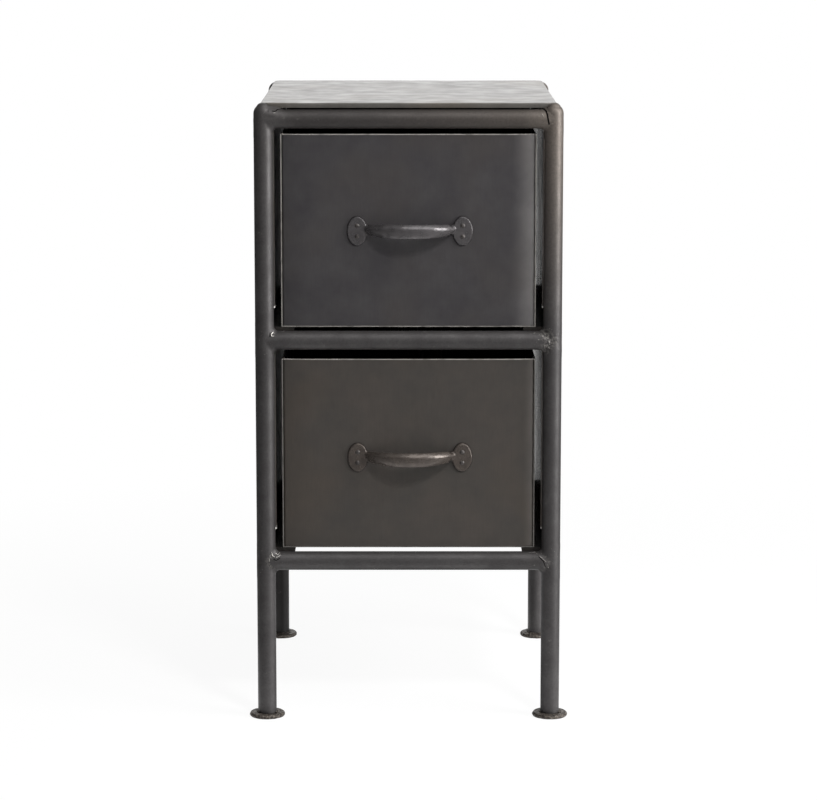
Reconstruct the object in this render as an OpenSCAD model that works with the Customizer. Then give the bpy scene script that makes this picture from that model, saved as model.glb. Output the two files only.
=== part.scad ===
// Two-drawer steel cabinet on a round-tube frame.
// Millimetres, +Z up, drawers open towards -Y.
// The origin is on the floor, under the middle of the cabinet.

/* [Frame] */
// Width over the legs
frame_w = 324; // [260:1:420]
// Depth over the legs
frame_d = 380; // [300:1:480]
// Diameter of the legs and rails
tube_d = 20; // [16:1:25]
// Wall of the legs and rails
tube_wall = 1.5; // [1:0.1:2.5]
// Height of the bottom rails' axis above the floor
bottom_rail_z = 170.5; // [120:0.5:240]
// Diameter of the foot discs
foot_d = 38; // [30:1:50]
// Thickness of the foot discs
foot_t = 4; // [2:0.5:6]

/* [Top sheet] */
// Thickness of the top sheet
top_t = 1.2; // [0.8:0.1:2]
// How far the sheet reaches past the legs' axes
top_overhang = 3; // [2:0.5:5]
// Radius of the sheet's corners, seen from above
top_corner_r = 6; // [3:0.5:7]
// Height of the front and rear lips, sheet included
top_lip_h = 5.5; // [3:0.5:6]
// Gap between the front lip and the rail under it
lip_gap = 1.5; // [0.5:0.1:3]

/* [Runners and plates] */
// Width of both flanges of the angle-iron runners
runner_w = 30; // [26:1:36]
// Thickness of the runners
runner_t = 4; // [3:0.5:5]
// How far inside the legs' axes the runners' outer faces lie
runner_inset = 1; // [0:0.5:3]
// Thickness of the side plates and the back sheet
plate_t = 1; // [0.8:0.1:2]
// Height of the side plates' lower edges above the runners' undersides
plate_rise = 24; // [15:1:28]
// How far inside the legs' axes the side plates end, front and rear
plate_setback = 2; // [1:0.5:4]
// Width of the open slots between the back sheet and the side plates
back_slot = 7; // [0:0.5:20]

/* [Drawers] */
// Height of a drawer
drawer_h = 203.6; // [140:0.1:260]
// Thickness of the drawers' sheet
drawer_t = 1.2; // [0.8:0.1:2]
// Gap between a drawer and the side plate beside it
drawer_side_gap = 6.8; // [2:0.1:10]
// Gap between the lower drawer and the middle rail
lower_head_gap = 10.4; // [3:0.1:15]
// Gap between the upper drawer and the top rail
upper_head_gap = 5.9; // [3:0.1:15]
// How far behind the front legs' axes the drawer fronts lie
front_setback = 2; // [0:0.5:6]
// Gap between a drawer and the back sheet
drawer_rear_gap = 5; // [2:0.5:20]
// Depth of the side returns of the front and back sheets
return_d = 15; // [8:1:25]
// Outer radius of the sheets' folds
fold_r = 2.4; // [2.1:0.1:4]

/* [Pulls] */
// Distance between the centres of the two rosettes
pull_span = 111; // [100:1:125]
// Sideways place of the pull's middle
pull_x = 1.5; // [-5:0.5:5]
// Height of the upper pull above the drawer's underside
upper_pull_h = 101.8; // [90:0.1:110]
// Height of the lower pull above the drawer's underside
lower_pull_h = 98; // [90:0.1:110]
// How far the bow stands out from the drawer front
pull_reach = 28; // [22:0.5:36]
// Thickness of the bow, front to back
bow_t = 8; // [6:0.5:10]
// Height of the bow at its middle
bow_h = 15.4; // [13:0.1:18]
// Height of the bow at its ends
bow_end_h = 10.6; // [9:0.1:12]
// How far the bow's middle line lies above the rosettes' centres
bow_rise = 1.4; // [0:0.1:2]
// How far inside the rosettes' centres the bow lands
bow_land = 9.5; // [8:0.5:12]
// Width of the rosettes
rosette_w = 22; // [20:0.5:26]
// Height of the rosettes
rosette_h = 32; // [28:0.5:38]
// Thickness of the rosettes
rosette_t = 2.5; // [1.5:0.5:4]
// Radius of the rosettes' rounded ends
rosette_end_r = 9; // [7:0.5:9.5]
// Height of the rivets above and below a rosette's centre
rivet_step = 5.7; // [5:0.1:7]
// Diameter of the rivets' shanks
rivet_d = 3; // [2.5:0.1:3.5]
// Diameter of the rivets' heads
rivet_head_d = 5; // [4.5:0.1:6]
// Height of the rivets' heads
rivet_head_h = 1.2; // [0.8:0.1:2]
// Play of a rivet in its hole, on the radius
rivet_play = 0.1; // [0.05:0.05:0.3]

/* [Hidden] */
$fn = 64;

tube_colour = [0.22, 0.21, 0.20];
sheet_colour = [0.27, 0.26, 0.25];
iron_colour = [0.16, 0.155, 0.15];

// Cuts run this far past what they cut, in mm or in degrees.
past = 5;

tube_r = tube_d / 2;
leg_x = frame_w / 2 - tube_r;
leg_half_y = frame_d / 2 - tube_r;
// The pulls stand out further than the front feet, so the frame lies this far back.
mid_y = (pull_reach - front_setback - foot_d / 2) / 2;
// Where the front (-1) or rear (1) legs' axes are
function leg_y(s) = mid_y + s * leg_half_y;

// Gap between a fitted end and the tube that it is welded to
weld_gap = 0.05;
// Radius of the cuts that fit the rails and runners round a tube
cut_r = tube_r + weld_gap;

// Heights, stacked from the bottom rails upwards.
lower_drawer_z = bottom_rail_z + tube_r + runner_t;
middle_rail_z = lower_drawer_z + drawer_h + lower_head_gap + tube_r;
upper_drawer_z = middle_rail_z + tube_r + runner_t;
top_rail_z = upper_drawer_z + drawer_h + upper_head_gap + tube_r;
top_z = top_rail_z + tube_r + lip_gap + top_lip_h;
dome_z = top_z - top_t - tube_r;

// The side plates and the back sheet line the bays.
bay_half_w = leg_x - tube_r;
bay_back_y = leg_y(1) - tube_r - plate_t;
// How far the plates and the back sheet reach past the line where they meet a rail
seam = 2;
// Room around a rail where a plate passes it
notch_gap = 0.3;

drawer_half_w = bay_half_w - plate_t - drawer_side_gap;
drawer_inner_half_w = drawer_half_w - drawer_t;
drawer_front_y = leg_y(-1) + front_setback;
drawer_back_y = bay_back_y - drawer_rear_gap;
// The side walls' front edges stand this far behind the drawer's face.
wall_inset = 0.3;

// The bow is an arc, seen from above, from rosette to rosette.
bow_half_span = pull_span / 2 - bow_land;
bow_sag = pull_reach - bow_t / 2;
bow_r = (bow_half_span ^ 2 + bow_sag ^ 2) / (2 * bow_sag);
bow_half_angle = asin(bow_half_span / bow_r);
// Seen from the front, two large arcs make it slimmer towards its ends.
bow_swell = (bow_h - bow_end_h) / 2;
bow_swell_r = (bow_half_span ^ 2 + bow_swell ^ 2) / (2 * bow_swell);
// A rosette is an oval of four arcs: two ends and two flatter sides.
rosette_end_z = rosette_h / 2 - rosette_end_r;
rosette_side_r = (rosette_w ^ 2 / 4 + rosette_end_z ^ 2 - rosette_end_r ^ 2)
    / (rosette_w - 2 * rosette_end_r);
rosette_join_z = rosette_end_z * rosette_side_r / (rosette_side_r - rosette_end_r);
rivet_head_r = ((rivet_head_d / 2) ^ 2 + rivet_head_h ^ 2) / (2 * rivet_head_h);

// A cylinder along Y, from y to y + length.
module along_y(r, y, length) {
    translate([0, y, 0]) rotate([-90, 0, 0]) cylinder(r = r, h = length);
}

// The outside of a leg, with its domed top end, or the cut that takes one.
module leg_outline(sx, sy, r) {
    translate([sx * leg_x, leg_y(sy), foot_t]) cylinder(r = r, h = dome_z - foot_t);
    translate([sx * leg_x, leg_y(sy), dome_z]) sphere(r = r);
}

module leg(sx, sy) {
    bore_r = tube_r - tube_wall;
    color(tube_colour) difference() {
        leg_outline(sx, sy, tube_r);
        translate([sx * leg_x, leg_y(sy), foot_t - past])
            cylinder(r = bore_r, h = dome_z - foot_t + past);
    }
}

module foot(sx, sy) {
    color(iron_colour) translate([sx * leg_x, leg_y(sy), 0])
        cylinder(r = foot_d / 2, h = foot_t);
}

// The outside of a cross rail, from the left leg's axis to the right one's.
module cross_outline(sy, z, r) {
    translate([-leg_x, leg_y(sy), z]) rotate([0, 90, 0]) cylinder(r = r, h = 2 * leg_x);
}

// A cross rail, with its ends cut to sit on the legs.
module cross_rail(sy, z) {
    color(tube_colour) difference() {
        cross_outline(sy, z, tube_r);
        cross_outline(sy, z, tube_r - tube_wall);
        for (sx = [-1, 1]) leg_outline(sx, sy, cut_r);
    }
}

// A side top rail. It is cut to sit on its legs and on the ends of the cross rails.
module side_rail(sx) {
    color(tube_colour) difference() {
        translate([sx * leg_x, 0, top_rail_z]) along_y(tube_r, leg_y(-1), 2 * leg_half_y);
        translate([sx * leg_x, 0, top_rail_z]) along_y(tube_r - tube_wall, leg_y(-1), 2 * leg_half_y);
        for (sy = [-1, 1]) {
            leg_outline(sx, sy, cut_r);
            cross_outline(sy, top_rail_z, cut_r);
        }
    }
}

// An angle iron between the legs. Its lower flange runs from the front rail to the back sheet.
module runner(sx, rail_z) {
    under_z = rail_z + tube_r;
    outer_x = leg_x - runner_inset;
    color(iron_colour) difference() {
        mirror([sx < 0 ? 1 : 0, 0, 0]) translate([outer_x - runner_w, 0, under_z]) {
            translate([0, leg_y(-1), 0]) cube([runner_w, bay_back_y - leg_y(-1), runner_t]);
            translate([runner_w - runner_t, leg_y(-1), 0]) cube([runner_t, 2 * leg_half_y, runner_w]);
        }
        for (sy = [-1, 1]) leg_outline(sx, sy, cut_r);
    }
}

// A thin plate inside the legs, from its lower edge to top, cut round the rails that it meets.
module side_plate(sx, runner_z, top, rail_z) {
    z = runner_z + plate_rise;
    color(sheet_colour) difference() {
        mirror([sx < 0 ? 1 : 0, 0, 0])
            translate([bay_half_w - plate_t, leg_y(-1) + plate_setback, z])
                cube([plate_t, 2 * (leg_half_y - plate_setback), top - z]);
        for (sy = [-1, 1]) cross_outline(sy, rail_z, tube_r + notch_gap);
    }
}

// The back sheet stands against the rear rails, with an open slot at each side.
module back_sheet() {
    half_w = bay_half_w - plate_t - back_slot;
    z = bottom_rail_z - seam;
    color(sheet_colour) translate([-half_w, bay_back_y, z])
        cube([2 * half_w, plate_t, top_rail_z + seam - z]);
}

// A rectangle round the origin with rounded corners.
module rounded_blank(half_w, half_d, r) {
    square([2 * half_w, 2 * (half_d - r)], center = true);
    square([2 * (half_w - r), 2 * half_d], center = true);
    for (sx = [-1, 1], sy = [-1, 1]) translate([sx * (half_w - r), sy * (half_d - r)]) circle(r);
}

// The top sheet lies on the leg tops. Its side lips stand on the side rails.
module top_sheet() {
    half_w = leg_x + top_overhang;
    half_d = leg_half_y + top_overhang;
    side_lip_x = half_w - top_t;
    side_lip_z = top_rail_z + sqrt(tube_r ^ 2 - (side_lip_x - leg_x) ^ 2);
    color(sheet_colour) translate([0, mid_y, 0]) {
        translate([0, 0, top_z - top_t]) linear_extrude(top_t)
            rounded_blank(half_w, half_d, top_corner_r);
        for (sy = [-1, 1]) mirror([0, sy < 0 ? 1 : 0, 0])
            translate([-bay_half_w, half_d - top_t, top_z - top_lip_h])
                cube([2 * bay_half_w, top_t, top_lip_h]);
        for (sx = [-1, 1]) mirror([sx < 0 ? 1 : 0, 0, 0])
            translate([side_lip_x, tube_r - leg_half_y, side_lip_z])
                cube([top_t, 2 * (leg_half_y - tube_r), top_z - side_lip_z]);
    }
}

// A strip of sheet with its front corners rounded, seen from above.
module fold_blank(half_w, depth, r) {
    translate([-half_w, r]) square([2 * half_w, depth - r]);
    translate([r - half_w, 0]) square([2 * (half_w - r), depth]);
    for (s = [-1, 1]) translate([s * (half_w - r), r]) circle(r);
}

// A sheet with both sides folded back. It stands on the drawer's bottom sheet.
module folded_sheet(z) {
    translate([0, 0, z + drawer_t]) linear_extrude(drawer_h - drawer_t) difference() {
        fold_blank(drawer_inner_half_w, return_d, fold_r);
        translate([0, drawer_t])
            fold_blank(drawer_inner_half_w - drawer_t, return_d, fold_r - drawer_t);
    }
}

// Puts what follows at each rivet of a pull whose rosettes' centres are at height z.
module at_rivets(z) {
    for (sx = [-1, 1], sz = [-1, 1])
        translate([pull_x + sx * pull_span / 2, drawer_front_y, z + sz * rivet_step]) children();
}

module drawer_front(z, pull_z) {
    color(sheet_colour) difference() {
        translate([0, drawer_front_y, 0]) folded_sheet(z);
        at_rivets(pull_z) along_y(rivet_d / 2 + rivet_play, -past, drawer_t + 2 * past);
    }
}

module drawer_back(z) {
    color(sheet_colour) translate([0, drawer_back_y, 0]) mirror([0, 1, 0]) folded_sheet(z);
}

module drawer_wall(sx, z) {
    y = drawer_front_y + wall_inset;
    color(sheet_colour) mirror([sx < 0 ? 1 : 0, 0, 0]) translate([drawer_inner_half_w, y, z])
        cube([drawer_t, drawer_back_y - wall_inset - y, drawer_h]);
}

module drawer_bottom(z) {
    y = drawer_front_y + wall_inset;
    color(sheet_colour) translate([-drawer_inner_half_w, y, z])
        cube([2 * drawer_inner_half_w, drawer_back_y - wall_inset - y, drawer_t]);
}

// The oval outline of a rosette.
module rosette_outline() {
    side_x = rosette_side_r - rosette_w / 2;
    intersection() {
        translate([side_x, 0]) circle(rosette_side_r);
        translate([-side_x, 0]) circle(rosette_side_r);
        square([rosette_w + past, 2 * rosette_join_z], center = true);
    }
    for (s = [-1, 1]) translate([0, s * rosette_end_z]) circle(rosette_end_r);
}

// The bow's section: upright, with round top and bottom edges.
module bow_section() {
    flat = bow_h - bow_t;
    translate([bow_r, 0]) {
        square([bow_t, flat], center = true);
        for (s = [-1, 1]) translate([0, s * flat / 2]) circle(bow_t / 2);
    }
}

// The bow, landing on the drawer's face in the plane y = 0.
module bow() {
    reach = pull_reach + past;
    intersection() {
        translate([0, bow_r - bow_sag, 0]) rotate([0, 0, -90 - bow_half_angle - past])
            rotate_extrude(angle = 2 * (bow_half_angle + past), $fn = 96) bow_section();
        translate([-pull_span / 2, -reach, -bow_h]) cube([pull_span, reach - rosette_t / 2, 2 * bow_h]);
        for (s = [-1, 1]) translate([0, 0, s * (bow_h / 2 - bow_swell_r)])
            along_y(bow_swell_r, -reach, reach + past, $fn = 128);
    }
}

// One forged piece: the bow and its two riveted rosettes.
module pull(z) {
    color(iron_colour) difference() {
        translate([pull_x, drawer_front_y, z]) {
            translate([0, 0, bow_rise]) bow();
            for (s = [-1, 1]) translate([s * pull_span / 2, 0, 0])
                rotate([90, 0, 0]) linear_extrude(rosette_t) rosette_outline();
        }
        at_rivets(z) along_y(rivet_d / 2 + rivet_play, -rosette_t - past, rosette_t + 2 * past);
    }
}

// A domed rivet head standing out towards -Y from the plane y = 0.
module rivet_head() {
    intersection() {
        translate([0, rivet_head_r - rivet_head_h, 0]) sphere(r = rivet_head_r);
        translate([-rivet_head_d, -2 * rivet_head_d, -rivet_head_d]) cube(2 * rivet_head_d);
    }
}

module rivets(z) {
    color(iron_colour) at_rivets(z) {
        translate([0, -rosette_t, 0]) rivet_head();
        along_y(rivet_d / 2, -rosette_t, rosette_t + drawer_t);
        translate([0, drawer_t, 0]) mirror([0, 1, 0]) rivet_head();
    }
}

lower_pull_z = lower_drawer_z + lower_pull_h;
upper_pull_z = upper_drawer_z + upper_pull_h;
lower_runner_z = bottom_rail_z + tube_r;
upper_runner_z = middle_rail_z + tube_r;
plate_top_z = top_rail_z + seam;

leg(-1, -1);  // leg_front_left
leg(1, -1);  // leg_front_right
leg(-1, 1);  // leg_rear_left
leg(1, 1);  // leg_rear_right
foot(-1, -1);  // foot_front_left
foot(1, -1);  // foot_front_right
foot(-1, 1);  // foot_rear_left
foot(1, 1);  // foot_rear_right
cross_rail(-1, top_rail_z);  // rail_front_top
cross_rail(-1, middle_rail_z);  // rail_front_middle
cross_rail(-1, bottom_rail_z);  // rail_front_bottom
cross_rail(1, top_rail_z);  // rail_rear_top
cross_rail(1, middle_rail_z);  // rail_rear_middle
cross_rail(1, bottom_rail_z);  // rail_rear_bottom
side_rail(-1);  // rail_side_left
side_rail(1);  // rail_side_right
runner(-1, middle_rail_z);  // runner_upper_left
runner(1, middle_rail_z);  // runner_upper_right
runner(-1, bottom_rail_z);  // runner_lower_left
runner(1, bottom_rail_z);  // runner_lower_right
side_plate(-1, upper_runner_z, plate_top_z, top_rail_z);  // plate_upper_left
side_plate(1, upper_runner_z, plate_top_z, top_rail_z);  // plate_upper_right
side_plate(-1, lower_runner_z, upper_runner_z, middle_rail_z);  // plate_lower_left
side_plate(1, lower_runner_z, upper_runner_z, middle_rail_z);  // plate_lower_right
back_sheet();
top_sheet();
drawer_front(upper_drawer_z, upper_pull_z);  // upper_drawer_front
drawer_wall(-1, upper_drawer_z);  // upper_drawer_left
drawer_wall(1, upper_drawer_z);  // upper_drawer_right
drawer_back(upper_drawer_z);  // upper_drawer_back
drawer_bottom(upper_drawer_z);  // upper_drawer_bottom
pull(upper_pull_z);  // upper_drawer_pull
rivets(upper_pull_z);  // upper_drawer_rivets
drawer_front(lower_drawer_z, lower_pull_z);  // lower_drawer_front
drawer_wall(-1, lower_drawer_z);  // lower_drawer_left
drawer_wall(1, lower_drawer_z);  // lower_drawer_right
drawer_back(lower_drawer_z);  // lower_drawer_back
drawer_bottom(lower_drawer_z);  // lower_drawer_bottom
pull(lower_pull_z);  // lower_drawer_pull
rivets(lower_pull_z);  // lower_drawer_rivets
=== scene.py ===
"""A two-drawer steel cabinet on a round-tube frame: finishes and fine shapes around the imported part."""

import math
import random

import bmesh
import bpy
from mathutils import Matrix, Vector, kdtree, noise
from mathutils.bvhtree import BVHTree


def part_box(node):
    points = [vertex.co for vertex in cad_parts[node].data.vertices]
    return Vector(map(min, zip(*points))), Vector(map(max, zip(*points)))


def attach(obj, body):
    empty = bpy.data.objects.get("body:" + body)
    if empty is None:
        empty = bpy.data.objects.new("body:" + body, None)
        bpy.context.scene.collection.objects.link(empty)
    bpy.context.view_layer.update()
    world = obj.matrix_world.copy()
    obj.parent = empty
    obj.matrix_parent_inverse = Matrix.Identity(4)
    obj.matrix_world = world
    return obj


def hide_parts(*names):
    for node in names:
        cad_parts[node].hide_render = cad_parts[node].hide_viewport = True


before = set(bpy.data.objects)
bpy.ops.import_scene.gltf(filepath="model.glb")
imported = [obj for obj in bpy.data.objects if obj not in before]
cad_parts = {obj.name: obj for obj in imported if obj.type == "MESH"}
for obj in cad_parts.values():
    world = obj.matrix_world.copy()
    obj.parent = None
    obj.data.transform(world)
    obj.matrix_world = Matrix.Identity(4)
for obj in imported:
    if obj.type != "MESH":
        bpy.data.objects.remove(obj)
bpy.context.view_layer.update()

# ---------------------------------------------------------------------------
# Sizes, in millimetres, as the part's source gives them
# ---------------------------------------------------------------------------
MM = 0.001
TUBE_R = 10
LEG_X = 152
FRONT_Y = -176.5
REAR_Y = 183.5
TOP_Z = 659
RAIL_Z = {"bottom": 170.5, "middle": 408.5, "top": 642}
DRAWER_Z = {"lower": 184.5, "upper": 422.5}
DRAWER_H = 203.6
DRAWER_FRONT_Y = -174.5
SHEET_T = 1.2
FOLD_R = 2.4
RETURN_D = 15
PULL_X = 1.5
PULL_Z = {"lower": 282.5, "upper": 524.3}
PULL_SPAN = 111
FOOT_R = 19


def node_box(name):
    """The lowest and highest corner of a CAD node, in millimetres."""
    low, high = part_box(name)
    return low / MM, high / MM


# ---------------------------------------------------------------------------
# Colours and material nodes
# ---------------------------------------------------------------------------
def linear(code):
    """An sRGB hex colour as the linear values that a shader takes."""
    parts = [int(code[i : i + 2], 16) / 255 for i in (1, 3, 5)]
    return [c / 12.92 if c <= 0.04045 else ((c + 0.055) / 1.055) ** 2.4 for c in parts] + [1.0]


def add(tree, kind, values=(), **settings):
    """Adds one node with its settings and links, and gives its outputs.

    values feed its sockets: a list fills them in order, and a dict says which by name or number. A value that is
    another node's output is linked.
    """
    made = tree.nodes.new("ShaderNode" + kind)
    for name, setting in settings.items():
        setattr(made, name, setting)
    for key, value in values.items() if isinstance(values, dict) else enumerate(values):
        if isinstance(value, bpy.types.NodeSocket):
            tree.links.new(value, made.inputs[key])
        else:
            made.inputs[key].default_value = value
    return made.outputs


def new_material(name):
    """An empty material, its tree and its Object coordinates."""
    made = bpy.data.materials.new(name)
    made.use_nodes = True
    tree = made.node_tree
    tree.nodes.clear()
    return made, tree, add(tree, "TexCoord")["Object"]


def near_planes(tree, where, planes):
    """1 within reach of any of the planes, given as (axis, place, reach) in millimetres, and 0 away from them."""
    parts = add(tree, "SeparateXYZ", [where])
    share = None
    for axis, place, reach in planes:
        away = add(tree, "Math", [parts[axis], place * MM], operation="SUBTRACT")[0]
        away = add(tree, "Math", [away], operation="ABSOLUTE")[0]
        close = add(tree, "MapRange", [away, reach * MM, reach * 0.6 * MM])[0]
        share = close if share is None else add(tree, "Math", [share, close], operation="MAXIMUM")[0]
    return share


# The black is an oxide, so only part of the surface still reflects as bare metal does.
METAL_SHARE = 0.55
# Bare steel where use has rubbed it, where a file has cut it (painted near-white, partly as a painted
# highlight), and where the brush has caught a weld's crests
RUBBED_STEEL = "#b5b1ab"
FILED_STEEL_AND_PAINTED_HIGHLIGHT = "#e2dfda"
BRUSHED_STEEL = "#e4e0da"
# Near-black and matt: in weld cracks, soot and painted shade; where a forged piece meets another, painted shade
SOOT_AND_PAINTED_SHADE = "#070606"
PAINTED_CONTACT_SHADE = "#060505"


def blackened_sheet(name, dark, light, warm, bare=(), rough=(0.34, 0.46), cloud_mm=38, thin=None, filed_edge_and_painted_highlight=False):
    """Cold-rolled sheet steel, blackened in a bath, rubbed back and waxed.

    The bath takes unevenly, so the black is cloudy with brown patches. Wax gives it a satin sheen, the rolling
    leaves a fine upright grain, and bare is where the sheet's edges are rubbed down to bright metal. thin is
    (x, reach, colour, share): over the last reach before x, at a fold, the colour is lightened more and more, a
    painted highlight. A file-cut edge is coarse and scatters light, where a rubbed one still mirrors it; it is
    painted near-white, partly for its bare steel and partly as a painted highlight.
    """
    made, tree, where = new_material(name)
    clouds, patches, pits = (
        add(tree, "TexNoise", {"Vector": where, "Scale": 1 / (size * MM), "Detail": detail, "Roughness": broken})[0]
        for size, detail, broken in ((cloud_mm, 5, 0.55), (95, 2, 0.5), (1.6, 3, 0.6))
    )
    # Real grain is about 0.1 mm. It is drawn 0.9 mm wide, so that it shows.
    along = add(tree, "Mapping", {"Vector": where, "Scale": (1, 1, 0.06)})[0]
    grain = add(tree, "TexNoise", {"Vector": along, "Scale": 1 / (0.9 * MM), "Detail": 2})[0]
    colour = linear(dark)
    for limits, coat in (
        ([clouds, 0.33, 0.68], light),
        ([patches, 0.5, 0.75, 0, 0.75], warm),
        ([grain, 0.32, 0.6, 0.1, 0], "#262423"),
    ):
        share = add(tree, "MapRange", limits)[0]
        colour = add(tree, "Mix", {0: share, 6: colour, 7: linear(coat)}, data_type="RGBA")[2]
    metal = METAL_SHARE
    # Painted highlight: towards the fold at x the colour is lightened more and more.
    if thin:
        x, reach, fold_highlight_colour, most = thin
        aside = add(tree, "SeparateXYZ", [where])[0]
        near = add(tree, "MapRange", [aside, (x - reach) * MM, x * MM])[0]
        near = add(tree, "Math", [near, near], operation="MULTIPLY")[0]
        patchy = add(tree, "MapRange", [clouds, 0.3, 0.6, most * 0.7, most])[0]
        rubbed = add(tree, "Math", [near, patchy], operation="MULTIPLY")[0]
        colour = add(tree, "Mix", {0: rubbed, 6: colour, 7: linear(fold_highlight_colour)}, data_type="RGBA")[2]
    sheen = add(tree, "MapRange", [clouds, 0.3, 0.7, rough[1], rough[0]])[0]
    streaks = add(tree, "MapRange", [grain, 0.3, 0.7, -0.03, 0.03])[0]
    sheen = add(tree, "Math", [sheen, streaks], operation="ADD")[0]
    if bare:
        patchy = add(tree, "TexNoise", {"Vector": where, "Scale": 1 / (9 * MM), "Detail": 3})[0]
        patchy = add(tree, "MapRange", [patchy, 0.3, 0.55, 0.35, 1])[0]
        worn = add(tree, "Math", [near_planes(tree, where, bare), patchy], operation="MULTIPLY")[0]
        # A file-cut edge is painted near-white and loses its metal: partly bare steel, partly a painted highlight.
        steel = linear(FILED_STEEL_AND_PAINTED_HIGHLIGHT if filed_edge_and_painted_highlight else RUBBED_STEEL)
        colour = add(tree, "Mix", {0: worn, 6: colour, 7: steel}, data_type="RGBA")[2]
        if filed_edge_and_painted_highlight:
            metal = add(tree, "MapRange", [worn, 0, 1, METAL_SHARE, 0])[0]
        else:
            polish = add(tree, "Math", [worn, 0.12], operation="MULTIPLY")[0]
            sheen = add(tree, "Math", [sheen, polish], operation="SUBTRACT")[0]
    relief = [add(tree, "Math", layer, operation="MULTIPLY")[0] for layer in ((grain, 0.35), (pits, 0.65))]
    relief = add(tree, "Math", relief, operation="ADD")[0]
    bump = add(tree, "Bump", {"Strength": 0.12, "Distance": 0.05 * MM, "Height": relief})[0]
    shader = add(tree, "BsdfPrincipled", {"Base Color": colour, "Metallic": metal, "Roughness": sheen, "Normal": bump})
    add(tree, "OutputMaterial", [shader[0]])
    return made


def blackened_tube(name, dark, light, rough=(0.44, 0.56), welded=False):
    """Drawn steel tube, blackened and waxed: smoother than the sheet, finely mottled, with rubbed spots.

    The tubes are painted warmer and a little lighter towards the top right: painted light. On a welded joint
    the weld attribute is 1 on a bead, which is brushed bright on its crests and black in its pits, and -1 in a
    crack, which is painted near-black: soot and painted shade.
    """
    made, tree, where = new_material(name)
    clouds, specks, rubbed, mottle = (
        add(tree, "TexNoise", {"Vector": where, "Scale": 1 / (size * MM), "Detail": detail, "Roughness": broken})[0]
        for size, detail, broken in ((26, 4, 0.6), (1.3, 2, 0.6), (7, 4, 0.65), (2.2, 3, 0.7))
    )
    # Places on the frame, in metres: painted light on the upper tubes towards the right, painted shade on the top rail
    # under the sheet's lip between the legs, and painted shade on the left rear leg.
    x, y, z = add(tree, "SeparateXYZ", [where])
    aside = add(tree, "Math", [x], operation="ABSOLUTE")[0]
    painted_light_top_right, painted_shade_under_lip, painted_shade_rear_left = (
        add(tree, "Math", [add(tree, "MapRange", limits)[0] for limits in pair], operation="MULTIPLY")[0]
        for pair in (
            ([z, 0.42, 0.63], [x, -0.06, 0.15, 0.05, 1]),
            ([aside, 0.142, 0.118, 0, 0.5], [z, 0.56, 0.62]),
            ([x, -0.115, -0.14, 0, 0.95], [y, 0.13, 0.165]),
        )
    )
    colour = linear(dark)
    for share, coat in (
        (add(tree, "MapRange", [clouds, 0.33, 0.68])[0], light),
        # painted light at the top right
        (painted_light_top_right, "#5e5751"),
        # painted shade under the sheet's lip
        (painted_shade_under_lip, "#2b2725"),
        # painted shade on the left rear leg
        (painted_shade_rear_left, "#0f0d0c"),
        (add(tree, "MapRange", [mottle, 0.35, 0.62, 0.3, 0])[0], "#211f1f"),
        (add(tree, "MapRange", [rubbed, 0.66, 0.8, 0, 0.5])[0], "#6d6a67"),
    ):
        colour = add(tree, "Mix", {0: share, 6: colour, 7: linear(coat)}, data_type="RGBA")[2]
    sheen = add(tree, "MapRange", [clouds, 0.3, 0.7, rough[1], rough[0]])[0]
    strength = 0.15
    metal, specular = METAL_SHARE, 0.5
    if welded:
        bead = add(tree, "Attribute", attribute_name="weld")["Fac"]
        crests = add(tree, "TexNoise", {"Vector": where, "Scale": 1 / (2.4 * MM), "Detail": 4, "Roughness": 0.6})[0]
        raised = add(tree, "MapRange", [bead, 0.7, 1, 0, 0.16])[0]
        crests = add(tree, "Math", [crests, raised], operation="ADD")[0]
        share = add(tree, "MapRange", [crests, 0.42, 0.7])[0]
        speckle = add(tree, "Mix", {0: share, 6: linear("#2c2a29"), 7: linear("#908c87")}, data_type="RGBA")[2]
        on_bead = add(tree, "MapRange", [bead, 0.3, 0.95, 0, 0.8])[0]
        bright = [add(tree, "MapRange", limits)[0] for limits in ([bead, 0.75, 0.95], [crests, 0.48, 0.6])]
        bright = add(tree, "Math", bright, operation="MULTIPLY")[0]
        # A crack is painted near-black, matt and without specular: soot, and painted shade in the groove.
        crack = -0.4
        sooty_and_shaded = add(tree, "MapRange", [bead, 0, crack])[0]
        for share, coat in ((on_bead, speckle), (bright, linear(BRUSHED_STEEL)), (sooty_and_shaded, linear(SOOT_AND_PAINTED_SHADE))):
            colour = add(tree, "Mix", {0: share, 6: colour, 7: coat}, data_type="RGBA")[2]
        polish = add(tree, "Math", [bright, 0.2], operation="MULTIPLY")[0]
        sheen = add(tree, "Math", [sheen, polish], operation="SUBTRACT")[0]
        dull = add(tree, "MapRange", [bead, 0, crack, 0, 0.4])[0]
        sheen = add(tree, "Math", [sheen, dull], operation="ADD")[0]
        metal = add(tree, "MapRange", [bead, 0, crack, METAL_SHARE, 0])[0]
        specular = add(tree, "MapRange", [bead, 0, crack, 0.5, 0])[0]
        strength = add(tree, "MapRange", [bead, 0.2, 0.9, 0.15, 0.5])[0]
    bump = add(tree, "Bump", {"Strength": strength, "Distance": 0.1 * MM, "Height": specks})[0]
    shader = add(
        tree,
        "BsdfPrincipled",
        {
            "Base Color": colour,
            "Metallic": metal,
            "Roughness": sheen,
            "Specular IOR Level": specular,
            "Normal": bump,
        },
    )
    add(tree, "OutputMaterial", [shader[0]])
    return made


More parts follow.
